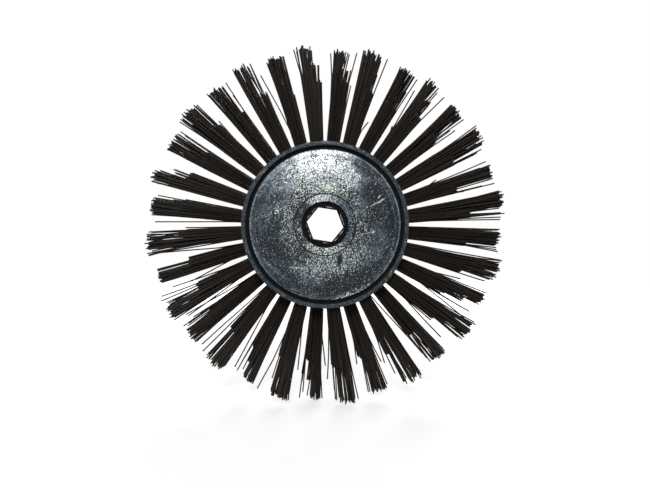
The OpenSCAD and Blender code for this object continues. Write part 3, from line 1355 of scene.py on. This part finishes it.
@dataclass(frozen=True)
class TuftSizes:
    """Sizes of the folded wires, shared by all tufts."""

    wire_diameter: float = 0.00120
    wire_gap: float = 0.00001
    hole_radius: float = 0.00645
    anchor_thickness: float = 0.001
    anchor_turn: float = math.radians(25)
    fold_radius: float = 0.06825
    root_top: float = 0.0780
    short_leg: float = 0.0615
    fan: float = math.radians(3.35)
    long_ragged: float = 0.006
    short_ragged: float = 0.004
    inner_row: float = 0.0021
    inner_slant: float = 0.14
    loose_height: float = 0.045
    loose_width: float = 0.0020
    # The mesh and its map.
    sides: int = 6
    long_points: int = 5
    fold_points: int = 4
    short_points: int = 4
    sharp_angle: float = math.radians(70)
    map_scale: float = 100
    map_shift: float = 37.0

    def lattice(self) -> tuple[np.ndarray, np.ndarray]:
        """Offsets of the legs on one side of the anchor, packed like the cells of a honeycomb.

        Row m stands half a wire plus m times the row's rise away from the anchor, and every second row is
        shifted along it by half a pitch. Legs that don't fit in the round hole are left out.

        Returns:
            The offsets away from the anchor, and those along it.
        """
        pitch = self.wire_diameter + self.wire_gap
        rise = pitch * math.sqrt(3) / 2
        count = int(2 * self.hole_radius / pitch) + 1
        row, column = np.meshgrid(np.arange(count), np.arange(-count, count + 1))
        away = (self.anchor_thickness + self.wire_diameter) / 2 + row * rise
        along = (column + 0.5 * (row % 2)) * pitch
        fits = np.hypot(away, along) <= self.hole_radius - self.wire_diameter / 2
        return away[fits], along[fits]


@dataclass(frozen=True)
class RowHabits:
    """How the tufts of one row stand: drift in degrees, the fan's span, and their raggedness and dust."""

    drift: float
    fan: Span
    ragged: float
    dust: float


@dataclass(frozen=True)
class Stray:
    """One kind of stray wire: among how many outermost legs, how steep in degrees, and from what height."""

    among: int
    slope: Span
    height: Span


@dataclass(frozen=True)
class Habits:
    """How the tufts differ from each other. Spans are drawn from evenly, and spreads are of a normal draw."""

    front: RowHabits = RowHabits(drift=0.7, fan=(0.95, 1.25), ragged=1.0, dust=0.1)
    rear: RowHabits = RowHabits(drift=0.0, fan=(0.65, 0.95), ragged=0.6, dust=-0.1)
    drift_swing: float = 1.9
    drift_turn: float = math.radians(38)
    lean_spread: float = 0.5
    step_shift: Span = (-0.003, 0.003)
    step_slope: Span = (-0.2, 0.9)
    second_step_share: float = 0.3
    second_step: float = 0.017
    looseness: tuple[float, ...] = (0.3, 0.4, 0.5, 0.85)
    dust_middle: float = 0.45
    dust_swing: float = 0.35
    dustiest: float = math.radians(225)
    dust_spread: float = 0.15
    grown_share: float = 0.9
    ragged_power: float = 1.3
    ragged_middle: float = 0.4
    short_counts: tuple[int, ...] = (0, 1, 1, 2, 2, 3)
    long_counts: tuple[int, ...] = (0, 0, 1, 1, 2)
    # Stray wires: those that lean out, those that cross to the next tuft, and broken bits.
    loose: Stray = Stray(8, (0.3, 2.2), (0.015, 0.055))
    loose_shorter: float = 0.022
    loose_power: float = 1.5
    crossing: Stray = Stray(6, (4.5, 11.0), (0.004, 0.045))
    crossing_reach: Span = (0.140, 0.172)
    crossing_least: float = 0.2
    crossing_swing: float = 0.75
    crossing_power: int = 3
    broken: Stray = Stray(6, (15, 28), (0.015, 0.035))
    broken_length: Span = (0.007, 0.012)
    broken_share: float = 0.06
    # Each leg's own lean and bow.
    leg_lean: float = math.radians(0.33)
    leg_bow: float = 0.12


HABITS = Habits()


@dataclass
class Legs:
    """The legs on one side of a tuft's anchor: offsets, the radii they reach, and how they leave the tuft."""

    away: np.ndarray
    along: np.ndarray
    end: np.ndarray
    leave_slope: np.ndarray
    leave_height: np.ndarray

    @classmethod
    def straight(cls, away: np.ndarray, along: np.ndarray, end: np.ndarray) -> "Legs":
        """Legs none of which leaves the tuft."""
        return cls(away, along, end, np.zeros(len(away)), np.zeros(len(away)))

    def send_off(self, picks: np.ndarray, slope: np.ndarray, height: np.ndarray, end: np.ndarray) -> None:
        """Lets some legs leave the tuft.

        Args:
            picks: Which legs.
            slope: How steeply they lean round the drum from then on.
            height: Height over the root at which they leave.
            end: Radii that they reach.
        """
        self.leave_slope[picks], self.leave_height[picks], self.end[picks] = slope, height, end


@dataclass
class Tuft:
    """One tuft of folded wires, with its own lean, fan, step, wear and stray wires."""

    number: int
    angle: float
    row: Face
    brush: BrushSizes
    sizes: TuftSizes
    finish: Finish

    def __post_init__(self) -> None:
        """Draws the tuft's own habits from its own seed.

        All tufts drift a little round the drum, as a brush that has turned one way does. Those that point
        down have more crossed wires, and those on the lower left are the dustiest.
        """
        self.random = np.random.default_rng(WIRE_SEED + self.number)
        self.reach = self.brush.reach - self.sizes.wire_diameter / 2
        row = HABITS.front if self.row is Face.FRONT else HABITS.rear
        drift = row.drift + HABITS.drift_swing * math.cos(self.angle + HABITS.drift_turn)
        self.lean = math.radians(drift + self.random.normal(0, HABITS.lean_spread))
        self.fan = self.sizes.fan * self.random.uniform(*row.fan)
        self.ragged = self.sizes.long_ragged * row.ragged
        self.step_shift = self.random.uniform(*HABITS.step_shift)
        self.step_slope = self.random.uniform(*HABITS.step_slope)
        self.second_step = self.random.uniform() < HABITS.second_step_share
        self.looseness = self.random.choice(HABITS.looseness)
        dusty = HABITS.dust_middle + HABITS.dust_swing * math.cos(self.angle - HABITS.dustiest) + row.dust
        self.wear = min(max(dusty + self.random.normal(0, HABITS.dust_spread), 0.0), 1.0)
        downward = max(0.0, -math.sin(self.angle))
        self.crossing = HABITS.crossing_least + HABITS.crossing_swing * downward**HABITS.crossing_power

    def step_end(self, away: np.ndarray) -> np.ndarray:
        """Radii at which the short legs end: a slanting step, with ragged ends."""
        ragged = self.sizes.short_ragged * self.random.uniform(0, 1, len(away))
        step = self.brush.drum_radius + self.sizes.short_leg + self.step_shift
        return step - self.step_slope * away - ragged

    def long_end(self, away: np.ndarray, along: np.ndarray) -> np.ndarray:
        """Radii that the long legs reach: short of it by up to the ragged length, and less in the middle."""
        uneven = self.random.uniform(0, 1, len(away)) ** HABITS.ragged_power
        middle = 1 - np.hypot(away, along) / self.sizes.hole_radius
        return self.reach - self.ragged * uneven * (1 - HABITS.ragged_middle * middle)

    def legs(self) -> tuple[Legs, Legs]:
        """The long side's legs and the short side's.

        Some of the short side's innermost legs are as long as the long ones, or end at a second step.

        Returns:
            Both sides' legs.
        """
        away, along = self.sizes.lattice()
        long_legs = Legs.straight(away, along, self.long_end(away, along))
        inner = away < self.sizes.inner_row - self.sizes.inner_slant * along
        grown = inner & (self.random.uniform(0, 1, len(away)) < HABITS.grown_share)
        far = self.long_end(away, along) - (HABITS.second_step if self.second_step else 0.0)
        short_legs = Legs.straight(-away, along, np.where(grown, far, self.step_end(away)))
        self.loosen(short_legs, -1, HABITS.short_counts)
        self.loosen(long_legs, 1, HABITS.long_counts)
        return long_legs, short_legs

    def straying(self, kind: Stray, side: int, count: int) -> tuple[np.ndarray, np.ndarray]:
        """Draws the slopes of some stray legs, and then the heights at which they leave."""
        slope = side * np.radians(self.random.uniform(*kind.slope, count))
        return slope, self.random.uniform(*kind.height, count)

    def loosen(self, legs: Legs, side: int, counts: Sequence[int]) -> None:
        """Lets a few of the outermost legs of one side leave the tuft.

        Most lean a little and reach nearly as far as the rest. Now and then one crosses over to the next
        tuft, and a broken bit sticks out.

        Args:
            legs: The side's legs.
            side: 1 for the counter-clockwise side, -1 for the clockwise one.
            counts: How many may leave, one of which is drawn.
        """
        turn = self.sizes.anchor_turn
        outermost = np.argsort(-side * (legs.away * math.cos(turn) + legs.along * math.sin(turn)))
        picks = self.random.choice(outermost[:HABITS.loose.among], self.random.choice(counts), replace=False)
        slope, height = self.straying(HABITS.loose, side, len(picks))
        shorter = HABITS.loose_shorter * self.random.uniform(0, 1, len(picks)) ** HABITS.loose_power
        legs.send_off(picks, slope, height, self.reach - shorter)
        if self.random.uniform() < self.crossing:
            pick = self.random.choice(outermost[:HABITS.crossing.among], 1)
            slope, height = self.straying(HABITS.crossing, side, 1)
            legs.send_off(pick, slope, height, self.random.uniform(*HABITS.crossing_reach))
        if self.random.uniform() < HABITS.broken_share:
            pick = self.random.choice(outermost[:HABITS.broken.among], 1)
            slope, height = self.straying(HABITS.broken, side, 1)
            end = self.sizes.root_top + height + self.random.uniform(*HABITS.broken_length)
            legs.send_off(pick, slope, height, end)

    def leg_path(self, legs: Legs, steps: int) -> np.ndarray:
        """Path of each leg from the top of the root to its end, as (outward, away, along).

        At height h over the root a leg stands at its offset times one plus the fan times h, plus its own
        small lean times h, plus a bow that grows with the square of h. Over the loose height a random shift
        round the drum grows with the square of the rest. Above the height at which a leg leaves, its slope
        is added.

        Args:
            legs: One side's legs.
            steps: Points on each leg.
        Returns:
            An array of legs by points by three.
        """
        count = len(legs.end)
        height = (legs.end - self.sizes.root_top)[:, None] * np.linspace(0, 1, steps)
        spread = math.tan(self.fan) / self.sizes.hole_radius
        lean = self.random.normal(0, HABITS.leg_lean, (2, count))
        bow = self.random.normal(0, HABITS.leg_bow, (2, count))
        loose = self.random.normal(0, self.looseness * self.sizes.loose_width, count)[:, None]
        loose = loose * (np.clip(height - self.sizes.loose_height, 0, None) / self.sizes.loose_height) ** 2
        aside = loose + legs.leave_slope[:, None] * np.clip(height - legs.leave_height[:, None], 0, None)
        shares = (math.cos(self.sizes.anchor_turn), math.sin(self.sizes.anchor_turn))
        paths = [self.sizes.root_top + height]
        for offset, slope, bend, share in zip((legs.away, legs.along), lean, bow, shares):
            fanned = offset[:, None] * (1 + spread * height)
            paths.append(fanned + slope[:, None] * height + bend[:, None] * height**2 + share * aside)
        return np.stack(paths, axis=-1)

    def wire_paths(self) -> np.ndarray:
        """Paths of the tuft's wires: down the long leg, round the fold under the anchor and up the short leg.

        The fold is a half circle about the anchor's lower edge, as wide as the leg's offset from the anchor.

        Returns:
            An array of wires by points by three, as (outward, away, along).
        """
        long_legs, short_legs = self.legs()
        away, along = long_legs.away, long_legs.along
        turn = np.linspace(0, np.pi, self.sizes.fold_points)
        fold = np.stack((
            self.sizes.fold_radius - away[:, None] * np.sin(turn),
            away[:, None] * np.cos(turn),
            np.repeat(along[:, None], len(turn), axis=1),
        ), axis=-1)
        down = self.leg_path(long_legs, self.sizes.long_points)[:, ::-1]
        return np.concatenate((down, fold, self.leg_path(short_legs, self.sizes.short_points)), axis=1)

    def placed(self, local: np.ndarray) -> np.ndarray:
        """Turns (outward, away, along) into places on the brush.

        The anchor is turned from the drum's axis, so that the short legs stand in front and clockwise of the
        long ones. The tuft's own lean shifts each point round the drum in proportion to its height over the
        root, and a point that would then stand past the brush's reach is drawn in.

        Args:
            local: Points in the tuft's own directions.
        Returns:
            The points in the brush's frame.
        """
        outward, away, along = np.moveaxis(local, -1, 0)
        turn = self.sizes.anchor_turn
        above = np.clip(outward - self.sizes.root_top, 0, None)
        tangent = away * math.cos(turn) + along * math.sin(turn) + math.tan(self.lean) * above
        row_place = self.row.value * self.brush.row_place
        depth = row_place + away * math.sin(turn) - along * math.cos(turn)
        outward = outward - np.clip(np.hypot(outward, tangent) - self.reach, 0, None)
        c, s = math.cos(self.angle), math.sin(self.angle)
        return np.stack((outward * c - tangent * s, depth, outward * s + tangent * c), axis=-1)

    def tubes(self, paths: np.ndarray) -> np.ndarray:
        """Rings of a round tube along each path.

        The ring's first direction is the anchor's own, made square to the path. Its second is square to both.

        Args:
            paths: Wires by points by three.
        Returns:
            Wires by points by sides by three.
        """
        forward = np.gradient(paths, axis=1)
        forward /= np.linalg.norm(forward, axis=-1, keepdims=True)
        across = np.zeros_like(forward)
        across[..., 2] = 1
        across -= (across * forward).sum(-1, keepdims=True) * forward
        across /= np.linalg.norm(across, axis=-1, keepdims=True)
        second = np.cross(forward, across)
        turn = np.linspace(0, 2 * np.pi, self.sizes.sides, endpoint=False)[:, None]
        ring = np.cos(turn) * across[:, :, None] + np.sin(turn) * second[:, :, None]
        return paths[:, :, None] + self.sizes.wire_diameter / 2 * ring

    def build(self) -> bpy.types.Object:
        """Makes the tuft's mesh, with each wire's tone, wear that grows with height, and a map along it.

        Returns:
            The piece, which stands for the tuft's node.
        """
        paths = self.wire_paths()
        wires, rings, _ = paths.shape
        sides = self.sizes.sides
        points = self.placed(self.tubes(paths)).reshape(-1, 3)
        one = loop_quads(rings, sides, closed=False)
        caps = np.stack((np.arange(sides)[::-1], (rings - 1) * sides + np.arange(sides)))
        first = np.arange(wires)[:, None, None] * rings * sides
        quads, ends = (first + one).reshape(-1, 4), (first + caps).reshape(-1, sides)
        node = f"tuft_{self.number:02d}"
        faces = quads.tolist() + ends.tolist()
        piece = mesh_piece(f"{node}_wires", points, faces, self.finish, self.sizes.sharp_angle)
        tone = np.repeat(self.random.uniform(0, 1, wires), rings * sides)
        above = np.clip((paths[..., 0] - self.brush.drum_radius) / self.sizes.short_leg, 0, 1)
        paled = np.repeat(self.wear * above**2, sides)
        for name, values in (("tone", tone), ("paled", paled)):
            piece.data.attributes.new(name, "FLOAT", "POINT").data.foreach_set("value", values)
        self.map_wires(piece.data, paths, len(quads))
        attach(piece, BODY)
        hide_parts(node)
        return piece

    def map_wires(self, mesh: bpy.types.Mesh, paths: np.ndarray, quads: int) -> None:
        """Lays a map along the wires: the share of a turn round, and the length along, in centimetres.

        Each wire's length starts further on than the last one's, so that no two share their streaks.

        Args:
            mesh: The tuft's mesh, quads first and cut ends after them.
            paths: The wires' paths.
            quads: Number of quads.
        """
        wires, rings, _ = paths.shape
        sides = self.sizes.sides
        metres = np.zeros((wires, rings))
        metres[:, 1:] = np.linalg.norm(np.diff(paths, axis=1), axis=-1).cumsum(axis=1)
        length = metres * self.sizes.map_scale + self.sizes.map_shift * np.arange(wires)[:, None]
        i, j = np.meshgrid(np.arange(rings - 1), np.arange(sides), indexing="ij")
        turn = np.stack((j, j + 1, j + 1, j), axis=-1).reshape(-1) / sides
        rows = np.stack((i, i, i + 1, i + 1), axis=-1).reshape(-1)
        flat = np.stack((np.tile(turn, wires), length[:, rows].reshape(-1)), axis=-1)
        ends = np.zeros((2 * wires * sides, 2))
        layer = mesh.uv_layers.new(name="wire")
        layer.data.foreach_set("uv", np.concatenate((flat, ends)).ravel())


@dataclass(frozen=True)
class TuftRows:
    """The two staggered rows of tufts. Odd numbers stand in the front row."""

    sizes: BrushSizes
    finish: Finish
    tuft: TuftSizes = TuftSizes()
    count: int = 32
    first_angle: float = math.radians(5.625)

    def build(self) -> None:
        """Builds each tuft at its own angle."""
        faces = 0
        for index in range(self.count):
            row = Face.FRONT if index % 2 == 0 else Face.REAR
            tuft = Tuft(
                number=index + 1,
                angle=self.first_angle + index * 2 * math.pi / self.count,
                row=row,
                brush=self.sizes,
                sizes=self.tuft,
                finish=self.finish,
            )
            faces += len(tuft.build().data.polygons)
        logging.info("tufts: %d, %d faces", self.count, faces)


# ---------------------------------------------------------------- the studio


@dataclass(frozen=True)
class SoftLamp:
    """An oblong soft lamp that looks at the brush's centre: its place, width, height and power in watts."""

    name: str
    place: tuple[float, float, float]
    width: float
    height: float
    power: float

    def build(self) -> None:
        """Makes the lamp."""
        light = bpy.data.lights.new(self.name, "AREA")
        light.shape = "RECTANGLE"
        light.size, light.size_y = self.width, self.height
        light.energy = self.power
        lamp = bpy.data.objects.new(self.name, light)
        lamp.location = self.place
        lamp.rotation_euler = (-Vector(self.place)).to_track_quat("-Z", "Y").to_euler()
        bpy.context.scene.collection.objects.link(lamp)


LAMPS = (
    SoftLamp("key_lamp", (-0.05, -1.46, 0.61), 0.42, 0.28, 27),
    SoftLamp("back_lamp", (0.20, 1.46, 0.61), 0.60, 0.40, 24),
    SoftLamp("left_lamp", (-1.45, 0.30, 0.45), 0.60, 0.40, 10),
    SoftLamp("right_lamp", (1.45, 0.30, 0.45), 0.60, 0.40, 10),
)


@dataclass(frozen=True)
class Studio:
    """Floor, world, lamps and camera."""

    floor_radius: float = 1.5
    floor_hub: float = 0.01
    floor_rings: int = 8
    floor_around: int = 64
    camera_distance: float = 0.660
    view_width: float = 0.639
    frame_drop: float = -0.0298
    sensor: float = 36.0
    fill: float = 0.20

    def floor(self, height: float) -> None:
        """Makes a round floor of rings that grow with the square of their number, and marks it as stage.

        Args:
            height: Where it lies.
        """
        around, rings = self.floor_around, self.floor_rings
        radius = self.floor_radius * (np.arange(rings) / (rings - 1)) ** 2 + self.floor_hub
        angle = np.linspace(0, 2 * np.pi, around, endpoint=False)
        x, y = radius[:, None] * np.cos(angle), radius[:, None] * np.sin(angle)
        points = np.stack((x, y, np.full_like(x, height)), axis=-1).reshape(-1, 3)
        quads = loop_quads(rings, around, closed=False)[:, ::-1]
        faces = quads.tolist() + [list(range(around))]
        mesh_piece("studio_floor", points, faces, WhiteStage("white_stage"))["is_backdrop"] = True

    def world(self) -> None:
        """A white surround for rays that are seen, and an even fill for the rest."""
        world = bpy.data.worlds.new("studio")
        bpy.context.scene.world = world
        world.use_nodes = True
        sheet = Sheet(world.node_tree)
        strength = sheet.step(seen_ray(sheet), 0.0, 1.0, self.fill, 1.0)
        sheet.feed(world.node_tree.nodes["Background"], {"Color": (1, 1, 1, 1), "Strength": strength})

    def camera(self) -> None:
        """A level camera on the drum's axis, in front of it, whose frame reaches further down than up."""
        lens = bpy.data.cameras.new("camera")
        lens.sensor_width = self.sensor
        lens.lens = self.sensor * self.camera_distance / self.view_width
        lens.shift_y = self.frame_drop
        camera = bpy.data.objects.new("camera", lens)
        camera.location = (0, -self.camera_distance, 0)
        camera.rotation_euler = (math.pi / 2, 0, 0)
        bpy.context.scene.collection.objects.link(camera)
        bpy.context.scene.camera = camera

    def build(self, floor_height: float) -> None:
        """Sets up the whole studio.

        Args:
            floor_height: Where the brush stands.
        """
        bpy.context.scene.view_settings.view_transform = "Standard"
        self.floor(floor_height)
        self.world()
        for lamp in LAMPS:
            lamp.build()
        self.camera()
        logging.info("studio: floor at %.4f m", floor_height)


def main() -> None:
    """Builds and dresses each sub-assembly in order."""
    logging.basicConfig(level=logging.INFO, format="%(message)s")
    cad_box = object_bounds()
    sizes = BrushSizes.from_frame()
    drum_finish = TurnedPlastic("drum_plastic_worn_and_sheen", DRUM_MARKS, rim_start=0.0745)
    DressedNode("drum_core", Slot.DRUM, drum_finish).dress()
    DressedNode("hex_bush", Slot.BUSH, MatteBush("bush_plastic_matte")).dress()
    # Painted shade for the bottom of the covers' grooves, with dirt smudges.
    shade_and_dirt = GrooveShadeAndDirt("groove_shade_and_dirt")
    for face in Face:
        finish = TurnedPlastic(face.node("cover_plastic"), COVER_MARKS[face])
        Cover(sizes, face, finish, shade_and_dirt).build()
        DressedNode(face.node("anchors"), Slot.ANCHOR, FlatSteel("anchor_steel_flat")).dress()
    TuftRows(sizes, DrawnWire("wire_steel_dark")).build()
    Studio().build(cad_box[0].z)


if __name__ == "__main__":
    main()
